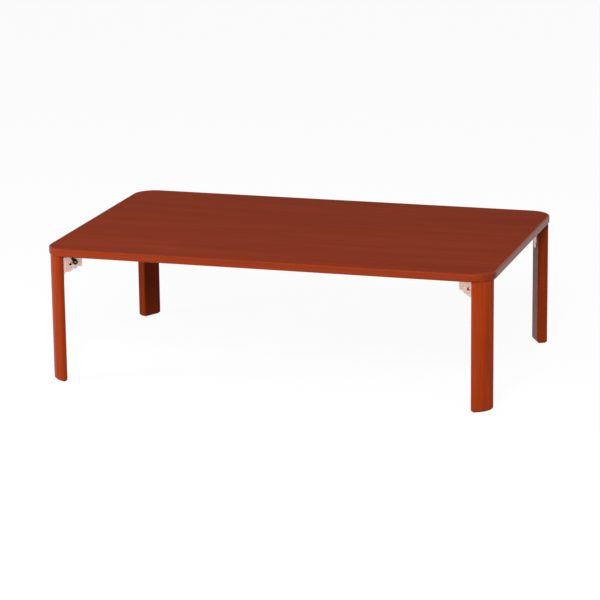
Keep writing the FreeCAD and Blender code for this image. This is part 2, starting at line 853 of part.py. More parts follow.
def check_pieces():
    """Stops if a feature failed or a piece is not sound."""
    for thing in doc.Objects:
        if {"Invalid", "Error"} & set(thing.State):
            raise RuntimeError(f"{thing.Label} failed: {thing.State}")
    for piece in pieces:
        if piece.Shape.isNull() or not piece.Shape.isValid() or not piece.Shape.Solids:
            raise RuntimeError(f"{piece.Label} has no sound shape")


def main():
    make_top_core()
    make_edge_lipping()
    make_sheet("top_veneer", size.table_height - size.sheet_thickness, [])
    make_sheet("back_sheet", underside, board_spots())
    for corner in CORNERS:
        make_leg(corner)
        make_foot_pad(corner)
        make_leg_plate(corner)
        make_leg_screws(corner)
        make_base_bracket(corner)
        make_base_screws(corner)
        make_pivot_pin(corner)
        make_leaf_spring(corner)
        make_spring_rivet(corner)
        make_lock_pin(corner)
        make_release_knob(corner)
    doc.recompute()
    check_pieces()
    os.makedirs("parts", exist_ok=True)
    for piece in pieces:
        piece.Shape.exportStep(f"parts/{piece.Label}.step")
        print(piece.Label, len(piece.Shape.Solids), round(piece.Shape.Volume, 1))


main()
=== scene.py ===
"""Dresses a low folding table for the render, in the shared frame of its CAD solids.

The table has a lacquered top with an edge band and four bowed wooden legs. Each leg folds
inwards on a pressed steel bracket, and a black knob on a leaf spring locks it. Lengths are
in metres and are written in millimetres times MM. The mechanism of a corner is drawn in that
corner's own frame: X runs inwards along the fold from the axis of the top's round corner, Y
runs along the leg's width from its middle, and Z is up from the floor. The latch sits on the
-Y side.
"""

from __future__ import annotations

import json
import logging
import math
from dataclasses import dataclass
from enum import Enum
from typing import Any, Optional, Sequence

import bmesh
import bpy
from mathutils import Matrix, Vector

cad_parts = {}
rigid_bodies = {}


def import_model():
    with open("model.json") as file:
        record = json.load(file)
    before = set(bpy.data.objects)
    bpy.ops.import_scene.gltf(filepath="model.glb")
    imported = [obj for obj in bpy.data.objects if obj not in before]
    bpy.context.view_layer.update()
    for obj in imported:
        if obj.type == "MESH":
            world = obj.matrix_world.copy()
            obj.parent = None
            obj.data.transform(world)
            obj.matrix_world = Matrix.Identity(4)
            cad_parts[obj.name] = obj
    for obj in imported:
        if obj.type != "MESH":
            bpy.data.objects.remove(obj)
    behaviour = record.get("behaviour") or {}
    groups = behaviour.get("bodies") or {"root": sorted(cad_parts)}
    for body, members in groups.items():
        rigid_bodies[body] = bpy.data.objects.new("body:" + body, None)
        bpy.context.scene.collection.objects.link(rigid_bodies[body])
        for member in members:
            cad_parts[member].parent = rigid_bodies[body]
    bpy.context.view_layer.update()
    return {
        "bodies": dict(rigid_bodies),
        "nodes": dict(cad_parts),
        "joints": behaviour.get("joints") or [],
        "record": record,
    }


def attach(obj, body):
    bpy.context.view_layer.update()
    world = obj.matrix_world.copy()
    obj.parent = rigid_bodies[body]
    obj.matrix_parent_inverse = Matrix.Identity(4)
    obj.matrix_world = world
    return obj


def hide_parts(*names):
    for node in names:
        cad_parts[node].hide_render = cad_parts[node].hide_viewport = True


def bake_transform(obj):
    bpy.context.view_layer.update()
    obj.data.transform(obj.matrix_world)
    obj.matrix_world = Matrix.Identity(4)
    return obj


MM = 0.001
SHARP_ANGLE = math.radians(38)
log = logging.getLogger("table")

Node = bpy.types.Node
NodeTree = bpy.types.NodeTree
Socket = bpy.types.NodeSocket
Point = tuple[float, float]
Ring = list[Vector]


# Small helpers.


def hex_colour(code: str) -> tuple[float, float, float, float]:
    """Turns an sRGB hex colour into linear light.

    Args:
        code: six hex digits after a hash sign.

    Returns:
        Red, green, blue and an alpha of one.
    """
    parts = [int(code[i : i + 2], 16) / 255 for i in (1, 3, 5)]
    linear = [c / 12.92 if c <= 0.04045 else ((c + 0.055) / 1.055) ** 2.4 for c in parts]
    return linear[0], linear[1], linear[2], 1.0


def add_node(
    tree: NodeTree, kind: str, inputs: Optional[dict] = None, **settings: Any
) -> Node:
    """Adds a node, sets its properties, and fills or links its inputs.

    Args:
        tree: the material's or geometry's node tree.
        kind: the node's type.
        inputs: input name or number to a value, or to the output socket that feeds it.
        settings: properties of the node.

    Returns:
        The new node.
    """
    node = tree.nodes.new(kind)
    for name, value in settings.items():
        setattr(node, name, value)
    for key, value in (inputs or {}).items():
        if isinstance(value, Socket):
            tree.links.new(value, node.inputs[key])
        else:
            node.inputs[key].default_value = value
    return node


def arc(centre: Point, radius: float, start: float, end: float, steps: int) -> list[Point]:
    """Points of an arc, both ends among them.

    Args:
        centre: the arc's centre.
        radius: its radius.
        start: the first angle, in degrees.
        end: the last angle, in degrees.
        steps: the number of straight runs.

    Returns:
        The points in order.
    """
    angles = (math.radians(start + (end - start) * i / steps) for i in range(steps + 1))
    return [(centre[0] + radius * math.cos(a), centre[1] + radius * math.sin(a)) for a in angles]


def facing_out(shape: bmesh.types.BMesh, mesh: bpy.types.Mesh) -> bpy.types.Mesh:
    """Writes a shape to a mesh with its faces pointing outwards, and frees the shape."""
    bmesh.ops.recalc_face_normals(shape, faces=shape.faces)
    shape.to_mesh(mesh)
    shape.free()
    return mesh


def loft(rings: Sequence[Ring]) -> bpy.types.Mesh:
    """Skins a row of rings, which have equal counts of points, and caps both ends."""
    shape = bmesh.new()
    rows = [[shape.verts.new(point) for point in ring] for ring in rings]
    count = len(rows[0])
    for low, high in zip(rows, rows[1:]):
        for i in range(count):
            j = (i + 1) % count
            shape.faces.new((low[i], low[j], high[j], high[i]))
    shape.faces.new(list(reversed(rows[0])))
    shape.faces.new(rows[-1])
    return facing_out(shape, bpy.data.meshes.new("loft"))


def lathe(profile: Sequence[Point], steps: int = 48) -> bpy.types.Mesh:
    """Turns a profile about Z.

    Args:
        profile: radius and height pairs; the first and last lie on the axis, or the
            profile is a closed outline round a bore.
        steps: the number of sides.

    Returns:
        The turned mesh, with single points at its poles.
    """
    shape = bmesh.new()
    closed = profile[0][0] > 0
    rows: list[list[bmesh.types.BMVert]] = []
    for radius, height in profile:
        if radius == 0:
            rows.append([shape.verts.new((0, 0, height))])
            continue
        turns = (2 * math.pi * i / steps for i in range(steps))
        ring = [(radius * math.cos(a), radius * math.sin(a), height) for a in turns]
        rows.append([shape.verts.new(point) for point in ring])
    for low, high in zip(rows, rows[1:] + rows[:1] if closed else rows[1:]):
        for i in range(steps):
            j = (i + 1) % steps
            corners = [low[i % len(low)], low[j % len(low)]]
            corners += [high[j % len(high)], high[i % len(high)]]
            shape.faces.new(list(dict.fromkeys(corners)))
    return facing_out(shape, bpy.data.meshes.new("lathe"))


def new_object(name: str, mesh: bpy.types.Mesh) -> bpy.types.Object:
    """Puts a mesh in the scene under a name, with its object at the origin."""
    mesh.name = name
    piece = bpy.data.objects.new(name, mesh)
    bpy.context.scene.collection.objects.link(piece)
    return piece


def apply_modifiers(piece: bpy.types.Object) -> None:
    """Turns a piece's modifiers into plain mesh and removes them."""
    view = bpy.context.evaluated_depsgraph_get()
    mesh = bpy.data.meshes.new_from_object(piece.evaluated_get(view))
    piece.modifiers.clear()
    piece.data = mesh
    mesh.name = piece.name


def smooth(piece: bpy.types.Object) -> None:
    """Shades a piece smooth between its sharp edges, with flats that stay flat."""
    piece.data.polygons.foreach_set("use_smooth", [True] * len(piece.data.polygons))
    piece.data.set_sharp_from_angle(angle=SHARP_ANGLE)
    weighted = piece.modifiers.new("weighted", "WEIGHTED_NORMAL")
    weighted.keep_sharp = True
    weighted.weight = 100
    apply_modifiers(piece)


def fit_out(piece: bpy.types.Object, body: str, node: str, finish: "Finish") -> None:
    """Gives a finished piece its body, the CAD node that it stands for and its finish.

    Args:
        piece: the piece, in place.
        body: the CAD body that it rides on.
        node: the CAD node that it replaces.
        finish: its finish, which also names its material slot.
    """
    if not piece.data.materials:
        piece.data.materials.append(finish.material())
    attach(piece, body)
    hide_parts(node)
    log.info("%s: %d faces on %s", piece.name, len(piece.data.polygons), body)


# The table's corners and main sizes.


@dataclass(frozen=True)
class TableSizes:
    """What several sub-assemblies share, as in the CAD model."""

    length: float = 1200 * MM
    width: float = 750 * MM
    height: float = 360 * MM
    thickness: float = 20 * MM
    corner_radius: float = 60 * MM
    fold: float = 28.0
    leg_inset: float = 3 * MM
    leg_offset: float = 12 * MM
    leg_thickness: float = 30 * MM
    leg_width: float = 61 * MM
    steel: float = 2 * MM
    bracket_width: float = 32 * MM
    pivot_from_leg: float = 18.8 * MM
    pivot_depth: float = 25 * MM

    @property
    def underside(self) -> float:
        """Height of the top's underside."""
        return self.height - self.thickness

    @property
    def leg_arc(self) -> float:
        """Radius of the legs' bowed side, about the axis of the top's round corner."""
        return self.corner_radius - self.leg_inset

    @property
    def leg_face(self) -> float:
        """Where the legs' flat inner face lies, in a corner's frame."""
        return self.leg_thickness - self.leg_arc

    @property
    def pivot(self) -> Point:
        """X and Z of the pivot, in a corner's frame."""
        return self.leg_face + self.pivot_from_leg, self.underside - self.pivot_depth

    @property
    def ear_outside(self) -> float:
        """How far the bracket's ears reach to each side."""
        return self.bracket_width / 2


TABLE = TableSizes()


class Corner(Enum):
    """The four corners, each with the signs of its X and Y."""

    FRONT_LEFT = (-1, -1)
    FRONT_RIGHT = (1, -1)
    REAR_RIGHT = (1, 1)
    REAR_LEFT = (-1, 1)

    @property
    def label(self) -> str:
        """The corner's name as the CAD nodes have it."""
        return self.name.lower()

    @property
    def axis_side(self) -> float:
        """Where the axis of the round corner lies along the leg's width."""
        return self.value[0] * self.value[1] * TABLE.leg_offset

    def frame(self) -> Matrix:
        """The matrix that carries a corner's frame to the table's."""
        side_x, side_y = self.value
        along, across = math.cos(math.radians(TABLE.fold)), math.sin(math.radians(TABLE.fold))
        x = TABLE.length / 2 - TABLE.corner_radius - across * TABLE.leg_offset
        y = TABLE.width / 2 - TABLE.corner_radius + along * TABLE.leg_offset
        heading = math.atan2(-side_y * across, -side_x * along)
        return Matrix.Translation((side_x * x, side_y * y, 0)) @ Matrix.Rotation(heading, 4, "Z")

    def turned(self, x: float, z: float) -> Matrix:
        """The matrix for a turned piece, whose Z then points out of the latch's ear."""
        return self.frame() @ Matrix.Translation((x, 0, z)) @ Matrix.Rotation(math.radians(90), 4, "X")


# Finishes.

# Between these two a noise has nearly all of its values.
NOISE_SPREAD = (0.3, 0.7)


@dataclass(frozen=True)
class Finish:
    """A surface finish: a name, the record's slot, and a way to build its material."""

    name: str
    slot: str

    def material(self) -> bpy.types.Material:
        """The finish's material, built when it is first asked for."""
        found = bpy.data.materials.get(self.name)
        if found:
            return found
        material = bpy.data.materials.new(self.name)
        material.use_nodes = True
        shader = material.node_tree.nodes["Principled BSDF"]
        self.build(material.node_tree, shader)
        return material

    def build(self, tree: NodeTree, shader: Node) -> None:
        """Adds the finish's nodes to the shader; each kind of finish has its own."""
        raise NotImplementedError

    @staticmethod
    def noise(
        tree: NodeTree, cell: Sequence[float], detail: float = 3.0, **inputs: float
    ) -> Socket:
        """A noise whose cells have a real size.

        Args:
            tree: the material's tree.
            cell: the size of a cell along X, Y and Z, in metres.
            detail: how many finer layers it has.
            inputs: further values of the noise, such as Roughness.

        Returns:
            The noise's value.
        """
        place = add_node(tree, "ShaderNodeTexCoord")
        scale = [1 / size for size in cell]
        mapping = add_node(tree, "ShaderNodeMapping", {"Vector": place.outputs["Object"], "Scale": scale})
        values = {"Vector": mapping.outputs[0], "Scale": 1.0, "Detail": detail, **inputs}
        return add_node(tree, "ShaderNodeTexNoise", values).outputs[0]

    @staticmethod
    def tint(tree: NodeTree, shader: Node, factor: Socket, stops: Sequence[tuple[float, str]]) -> None:
        """Runs the shader's colour along a ramp of sRGB hex colours.

        Args:
            tree: the material's tree.
            shader: the shader that takes the colour.
            factor: the value that runs along the ramp.
            stops: places on the ramp with their colours.
        """
        ramp = add_node(tree, "ShaderNodeValToRGB", {"Fac": factor})
        elements = ramp.color_ramp.elements
        for _ in stops[2:]:
            elements.new(1.0)
        for element, (place, code) in zip(elements, stops):
            element.position = place
            element.color = hex_colour(code)
        tree.links.new(ramp.outputs["Color"], shader.inputs["Base Color"])

    @staticmethod
    def roughen(
        tree: NodeTree, shader: Node, height: Socket, rough: Point, bump: float, strength: float = 1.0
    ) -> None:
        """Lets one height drive the roughness and a bump.

        Args:
            tree: the material's tree.
            shader: the shader that takes both.
            height: the value that drives them.
            rough: the roughness where it is low and where it is high.
            bump: the bump's height, in metres.
            strength: how strongly the bump shows.
        """
        low, high = NOISE_SPREAD
        spread = {"Value": height, "From Min": low, "From Max": high, "To Min": rough[0], "To Max": rough[1]}
        ranged = add_node(tree, "ShaderNodeMapRange", spread)
        tree.links.new(ranged.outputs[0], shader.inputs["Roughness"])
        raised = add_node(tree, "ShaderNodeBump", {"Height": height, "Distance": bump, "Strength": strength})
        tree.links.new(raised.outputs[0], shader.inputs["Normal"])


class Grain(Enum):
    """The axis that a piece of wood has its grain along."""

    X = 0
    Y = 1
    Z = 2

    def cell(self, long: float, across: float) -> list[float]:
        """The size of a cell that is long along the grain."""
        size = [across] * 3
        size[self.value] = long
        return size


@dataclass(frozen=True)
class LacqueredWood(Finish):
    """Stained close-grained wood under a sprayed urethane lacquer.

    The stain evens out the figure, so the eye sees broad, soft bands, faint growth lines
    and fine fibres, all along the grain. The pores are far finer than a pixel, so the
    fibres are drawn a few millimetres wide.
    """

    grain: Grain = Grain.X
    dark: str = "#8E3218"
    body: str = "#9A3819"
    light: str = "#A53E1B"
    band: float = 45 * MM
    band_stretch: float = 14
    line: float = 9 * MM
    line_stretch: float = 40
    line_share: float = 0.45
    fibre: float = 2.2 * MM
    fibre_stretch: float = 45
    fibre_share: float = 0.35
    gloss: float = 0.03
    rough: Point = (0.3, 0.42)
    pores: float = 0.04 * MM

    def build(self, tree: NodeTree, shader: Node) -> None:
        """Bands, growth lines and fibres, mixed into one tone that runs along a ramp."""
        cell = self.grain.cell
        bands = self.noise(tree, cell(self.band * self.band_stretch, self.band), 2.0, Distortion=0.6)
        lines = self.noise(tree, cell(self.line * self.line_stretch, self.line), 2.0, Roughness=0.6)
        fibres = self.noise(tree, cell(self.fibre * self.fibre_stretch, self.fibre), 3.0, Roughness=0.7)
        first = add_node(tree, "ShaderNodeMix", {0: self.line_share, 2: bands, 3: lines})
        tone = add_node(tree, "ShaderNodeMix", {0: self.fibre_share, 2: first.outputs[0], 3: fibres})
        stops = [(0.36, self.dark), (0.5, self.body), (0.64, self.light)]
        self.tint(tree, shader, tone.outputs[0], stops)
        self.roughen(tree, shader, fibres, self.rough, self.pores, 0.5)
        shader.inputs["Specular IOR Level"].default_value = self.gloss


@dataclass(frozen=True)
class PlatedSteel(Finish):
    """Pressed or turned steel with an electroplated coat.

    Plating leaves a fine grey bloom, a little cloudy, with a slight drift in its tint.
    """

    bright: str = "#DEBFB5"
    dull: str = "#C4A19A"
    rough: Point = (0.3, 0.46)
    cloud: float = 9 * MM
    speck: float = 0.9 * MM
    pits: float = 0.02 * MM

    def build(self, tree: NodeTree, shader: Node) -> None:
        """A cloudy tint and an uneven polish on bare metal."""
        clouds = self.noise(tree, [self.cloud] * 3, 4.0, Roughness=0.65)
        self.tint(tree, shader, clouds, [(0.35, self.dull), (0.65, self.bright)])
        shader.inputs["Metallic"].default_value = 1.0
        specks = self.noise(tree, [self.speck] * 3, 3.0, Roughness=0.7)
        mixed = add_node(tree, "ShaderNodeMix", {0: 0.5, 2: clouds, 3: specks})
        self.roughen(tree, shader, mixed.outputs[0], self.rough, self.pits, 0.4)


@dataclass(frozen=True)
class MouldedPlastic(Finish):
    """Injection-moulded ABS, with the fine grain of an etched mould."""

    deep: str = "#15100C"
    raised: str = "#201914"
    pebble: float = 0.5 * MM
    rough: Point = (0.34, 0.46)
    etched: float = 0.03 * MM
    gloss: float = 0.15

    def build(self, tree: NodeTree, shader: Node) -> None:
        """A black body with a pebbled skin."""
        grain = self.noise(tree, [self.pebble] * 3, 2.0)
        self.tint(tree, shader, grain, list(zip(NOISE_SPREAD, (self.deep, self.raised))))
        self.roughen(tree, shader, grain, self.rough, self.etched, 0.6)
        shader.inputs["Specular IOR Level"].default_value = self.gloss


@dataclass(frozen=True)
class Felt(Finish):
    """Pressed wool felt: matted fibres with a soft, light-catching nap."""

    matted: str = "#2A1C15"
    standing: str = "#5A4335"
    fibre: tuple[float, float, float] = (1.1 * MM, 0.7 * MM, 0.5 * MM)
    rough: Point = (0.9, 1.0)
    nap: float = 0.3 * MM
    sheen: float = 0.3

    def build(self, tree: NodeTree, shader: Node) -> None:
        """Fibres about a millimetre long, lighter where they stand up."""
        fibres = self.noise(tree, self.fibre, 6.0, Roughness=0.8, Distortion=1.5)
        self.tint(tree, shader, fibres, list(zip(NOISE_SPREAD, (self.matted, self.standing))))
        self.roughen(tree, shader, fibres, self.rough, self.nap)
        shader.inputs["Sheen Weight"].default_value = self.sheen


@dataclass(frozen=True)
class ParticleBoard(Finish):
    """Particle board: wood chips of many browns, pressed with resin."""

    browns: tuple[str, str, str] = ("#8A6238", "#B98D5B", "#D8B98A")
    chip: float = 4 * MM
    rough: Point = (0.8, 0.95)
    gaps: float = 0.2 * MM

    def build(self, tree: NodeTree, shader: Node) -> None:
        """Chips a few millimetres across, each with its own brown."""
        place = add_node(tree, "ShaderNodeTexCoord")
        cells = {"Vector": place.outputs["Object"], "Scale": 1 / self.chip}
        chips = add_node(tree, "ShaderNodeTexVoronoi", cells)
        shade = add_node(tree, "ShaderNodeSeparateColor", {"Color": chips.outputs["Color"]})
        self.tint(tree, shader, shade.outputs[0], list(zip((0.0, 0.5, 1.0), self.browns)))
        self.roughen(tree, shader, chips.outputs["Distance"], self.rough, self.gaps)


TOP_LACQUER = LacqueredWood(
    "satin_lacquer_top",
    "lacquered_wood",
    dark="#882F15",
    body="#943516",
    light="#9F3B17",
    gloss=0.005,
    rough=(0.45, 0.55),
)
SIDE_LACQUER = LacqueredWood(
    "gloss_lacquer_long_sides", "lacquered_wood", gloss=0.06, rough=(0.18, 0.26)
)
END_LACQUER = LacqueredWood(
    "gloss_lacquer_short_sides", "lacquered_wood", Grain.Y, gloss=0.056, rough=(0.2, 0.3)
)
LEG_LACQUER = LacqueredWood(
    "gloss_lacquer_legs",
    "lacquered_wood",
    Grain.Z,
    dark="#93300F",
    body="#A53A12",
    light="#B34416",
    band=30 * MM,
    line=8 * MM,
    gloss=0.05,
    rough=(0.22, 0.32),
)
BACKING = LacqueredWood(
    "matt_stained_backing",
    "backing",
    dark="#5E2413",
    body="#6F2B17",
    light="#7C3520",
    gloss=0.2,
    rough=(0.6, 0.75),
)
BRIGHT_ZINC = PlatedSteel("bright_zinc_plate", "zinc_steel")
YELLOW_ZINC = PlatedSteel(
    "yellow_chromated_zinc", "yellow_zinc_steel", bright="#B8935C", dull="#8A6B42", cloud=3 * MM
)
RIVET_ZINC = PlatedSteel(
    "pale_passivated_zinc", "yellow_zinc_steel", bright="#D9B59E", dull="#B08C74", cloud=3 * MM
)
# A dark brown steel for the rivet's bore: painted shade that stands for the shadow inside the hollow.
BORE_PAINTED_SHADE = PlatedSteel(
    "oiled_bare_steel", "yellow_zinc_steel", bright="#5C4231", dull="#33221A", rough=(0.4, 0.55)
)
BLUED_STEEL = PlatedSteel(
    "blued_spring_steel", "blued_steel", bright="#1F1D1E", dull="#121012", rough=(0.28, 0.4)
)
BLACK_ABS = MouldedPlastic("black_moulded_abs", "black_plastic")
WOOL_FELT = Felt("pressed_wool_felt", "felt")
CHIPBOARD = ParticleBoard("particle_board", "particle_board")


# Geometry Nodes: one class builds a tree with named inputs and runs it.


class Tree:
    """A Geometry Nodes tree with named inputs, run once on an empty mesh."""

    KINDS = {
        float: "NodeSocketFloat",
        bpy.types.Object: "NodeSocketObject",
        bpy.types.Material: "NodeSocketMaterial",
    }

    def __init__(self, name: str, inputs: dict[str, Any]) -> None:
        """Starts the tree.

        Args:
            name: the tree's name.
            inputs: the inputs' names and their values.
        """
        self.values = inputs
        self.tree = bpy.data.node_groups.new(name, "GeometryNodeTree")
        sockets = self.tree.interface
        sockets.new_socket("Geometry", in_out="OUTPUT", socket_type="NodeSocketGeometry")
        self.identifiers: dict[str, str] = {}
        for label, value in inputs.items():
            kind = self.KINDS[type(value)]
            self.identifiers[label] = sockets.new_socket(label, in_out="INPUT", socket_type=kind).identifier
        self.given = self.tree.nodes.new("NodeGroupInput").outputs

    def add(self, kind: str, inputs: Optional[dict] = None, **settings: Any) -> Node:
        """Adds a node to the tree, as add_node does."""
        return add_node(self.tree, kind, inputs, **settings)

    def maths(self, operation: str, *terms: Any) -> Socket:
        """The result of one operation on sockets or numbers."""
        return self.add("ShaderNodeMath", dict(enumerate(terms)), operation=operation).outputs[0]

    def vector(self, x: Any = 0.0, y: Any = 0.0, z: Any = 0.0) -> Socket:
        """A vector of sockets or numbers."""
        return self.add("ShaderNodeCombineXYZ", {0: x, 1: y, 2: z}).outputs[0]

    def run(self, name: str, last: Socket) -> bpy.types.Object:
        """Ends the tree and turns its result into a plain object.

        Args:
            name: the new object's name.
            last: the geometry that the tree gives out.

        Returns:
            The object, with no modifier left on it.
        """
        self.add("NodeGroupOutput", {0: last})
        piece = new_object(name, bpy.data.meshes.new(name))
        modifier = piece.modifiers.new("nodes", "NODES")
        modifier.node_group = self.tree
        for label, value in self.values.items():
            modifier[self.identifiers[label]] = value
        apply_modifiers(piece)
        return piece


# The top.


@dataclass
class Tabletop:
    """The top: an edge band swept round the board, a face sheet, and what they hide."""

    edge_round: float = 3 * MM
    round_steps: int = 8
    corner_steps: int = 33
    band_width: float = 8 * MM
    sheet: float = 0.6 * MM
    weld: float = 0.001 * MM
    body: str = "tabletop"

    def make(self, frame: dict) -> None:
        """Builds both lacquered pieces, and paints the board and its backing.
        """
        fit_out(self.edge_band(), self.body, "edge_lipping", SIDE_LACQUER)
        fit_out(self.face_sheet(), self.body, "top_veneer", TOP_LACQUER)
        for name, finish in (("top_core", CHIPBOARD), ("back_sheet", BACKING)):
            for material_slot in frame["nodes"][name].material_slots:
                material_slot.material = finish.material()

    def section(self) -> list[Point]:
        """The band's section: distance in from the edge, and height above the underside."""
        top, flat, rebate = TABLE.thickness, self.edge_round, self.sheet
        points = [(self.band_width, rebate), (flat, rebate), (flat, 0.0)]
        points += arc((flat, flat), flat, 270, 180, self.round_steps)[1:]
        points += arc((flat, top - flat), flat, 180, 90, self.round_steps)
        return points + [(flat, top - rebate), (self.band_width, top - rebate)]

    def edge_band(self) -> bpy.types.Object:
        """Sweeps the section round the top's outline.

        Returns:
            The band, with its grain along each side and a mitre at each corner.
        """
        section = bpy.data.curves.new("band_section", "CURVE")
        line = section.splines.new("POLY")
        points = self.section()
        line.points.add(len(points) - 1)
        for place, (x, y) in zip(line.points, points):
            place.co = (-x, -y, 0, 1)
        line.use_cyclic_u = True
        profile = bpy.data.objects.new("band_section", section)
        bpy.context.scene.collection.objects.link(profile)
        sizes = {
            "Length": TABLE.length,
            "Width": TABLE.width,
            "Corner Radius": TABLE.corner_radius,
            "Underside": TABLE.underside,
            "Section": profile,
            "Side Finish": SIDE_LACQUER.material(),
            "End Finish": END_LACQUER.material(),
        }
        tree = Tree("edge_band_sweep", sizes)
        given = tree.given
        oblong = {"Width": given["Length"], "Height": given["Width"]}
        outline = tree.add("GeometryNodeCurvePrimitiveQuadrilateral", oblong)
        corners = {0: outline.outputs[0], "Radius": given["Corner Radius"], "Count": self.corner_steps - 1}
        rounded = tree.add("GeometryNodeFilletCurve", corners, mode="POLY")
        held = tree.add("GeometryNodeObjectInfo", {"Object": given["Section"]})
        sweep = {0: rounded.outputs[0], "Profile Curve": held.outputs["Geometry"]}
        swept = tree.add("GeometryNodeCurveToMesh", sweep)
        lift = {0: swept.outputs[0], "Translation": tree.vector(z=given["Underside"])}
        lifted = tree.add("GeometryNodeTransform", lift)
        real = tree.add("GeometryNodeRealizeInstances", {0: lifted.outputs[0]})
        all_round = {0: real.outputs[0], "Material": given["Side Finish"]}
        sides = tree.add("GeometryNodeSetMaterial", all_round)
        spot = tree.add("ShaderNodeSeparateXYZ", {0: tree.add("GeometryNodeInputPosition").outputs[0]})
        past = []
        for axis, size in ((0, "Length"), (1, "Width")):
            reach = tree.maths("ABSOLUTE", spot.outputs[axis])
            past.append(tree.maths("SUBTRACT", reach, tree.maths("MULTIPLY", given[size], 0.5)))
        on_end = tree.maths("GREATER_THAN", past[0], past[1])
        short_sides = {0: sides.outputs[0], "Selection": on_end, "Material": given["End Finish"]}
        ends = tree.add("GeometryNodeSetMaterial", short_sides)
        band = tree.run("edge_band", ends.outputs[0])
        bpy.data.objects.remove(profile)
        shape = bmesh.new()
        shape.from_mesh(band.data)
        bmesh.ops.remove_doubles(shape, verts=shape.verts, dist=self.weld)
        facing_out(shape, band.data)
        smooth(band)
        return band

    def face_sheet(self) -> bpy.types.Object:
        """The lacquered sheet that lies in the band's upper rebate."""
        radius = TABLE.corner_radius - self.edge_round
        x, y = TABLE.length / 2 - TABLE.corner_radius, TABLE.width / 2 - TABLE.corner_radius
        outline: list[Point] = []
        for centre, start in (((x, -y), -90), ((x, y), 0), ((-x, y), 90), ((-x, -y), 180)):
            outline += arc(centre, radius, start, start + 90, self.corner_steps)
        heights = (TABLE.height - self.sheet, TABLE.height)
        rings = [[Vector((a, b, z)) for a, b in outline] for z in heights]
        return new_object("face_sheet", loft(rings))


# The legs.


@dataclass
class Leg:
    """A bowed leg with its felt pad, on its own CAD body."""

    corner: Corner
    inner_round: float = 6 * MM
    outer_round: float = 4.5 * MM
    end_round: float = 4 * MM
    top_gap: float = 0.3 * MM
    pad: float = 2 * MM
    pad_inset: float = 4.5 * MM
    pad_round: float = 1 * MM
    nap_round: float = 0.25 * MM
    inner_steps: int = 8
    outer_steps: int = 6
    bow_steps: int = 40

    def outline(self, inset: float, inner: float, outer: float) -> list[Point]:
        """The leg's section, anticlockwise.

        Args:
            inset: how much smaller it is all round.
            inner: the round of the two corners on the flat inner side.
            outer: the round of the two corners on the bowed side.

        Returns:
            The points in the corner's frame: the flat inner side, and the bowed outer one.
        """
        half, face = TABLE.leg_width / 2 - inset, TABLE.leg_face - inset
        bow, axis = TABLE.leg_arc - inset, self.corner.axis_side
        ends = [side * (half - outer) for side in (1, -1)]
        shoulders = [-math.sqrt((bow - outer) ** 2 - (y - axis) ** 2) for y in ends]
        leans = [math.degrees(math.atan2(y - axis, x)) % 360 for x, y in zip(shoulders, ends)]
        points = arc((face - inner, inner - half), inner, -90, 0, self.inner_steps)
        points += arc((face - inner, half - inner), inner, 0, 90, self.inner_steps)
        points += arc((shoulders[0], ends[0]), outer, 90, leans[0], self.outer_steps)
        points += arc((0.0, axis), bow, *leans, self.bow_steps)[1:-1]
        return points + arc((shoulders[1], ends[1]), outer, leans[1], 270, self.outer_steps)

    def rings(self, heights: Point, inset: float, corners: Point, ends: Point) -> list[Ring]:
        """Rings up the leg or its pad, with rounded ends.

        Args:
            heights: the foot's and the head's.
            inset: how much smaller the section is than the leg's.
            corners: the rounds of the section's inner and outer corners.
            ends: the rounds at the foot and at the head.

        Returns:
            The rings from the foot up.
        """
        (low, high), (foot, head) = heights, ends
        turns = [math.radians(a) for a in (0, 22.5, 45, 67.5, 90)]
        levels = [(low + foot * (1 - math.cos(t)), foot * (1 - math.sin(t))) for t in turns]
        levels += [(low + (high - low) * share, 0.0) for share in (0.25, 0.5, 0.75)]
        levels += [(high - head * (1 - math.cos(t)), head * (1 - math.sin(t))) for t in reversed(turns)]
        inner, outer = corners
        return [
            [Vector((x, y, z)) for x, y in self.outline(inset + shrink, inner - shrink, outer - shrink)]
            for z, shrink in levels
        ]

    def make(self) -> None:
        """Builds the leg and its pad."""
        label = self.corner.label
        body = f"leg_{label}"
        top = TABLE.underside - self.top_gap
        rounds, ends = (self.inner_round, self.outer_round), (self.end_round, self.top_gap)
        wood = loft(self.rings((self.pad, top), 0.0, rounds, ends))
        rounds, ends = (self.pad_round,) * 2, (self.nap_round,) * 2
        felt = loft(self.rings((0.0, self.pad), self.pad_inset, rounds, ends))
        for name, mesh, node, finish in (
            (f"bowed_leg_{label}", wood, f"leg_{label}", LEG_LACQUER),
            (f"felt_pad_{label}", felt, f"foot_pad_{label}", WOOL_FELT),
        ):
            mesh.transform(self.corner.frame())
            piece = new_object(name, mesh)
            smooth(piece)
            fit_out(piece, body, node, finish)


# The folding brackets.


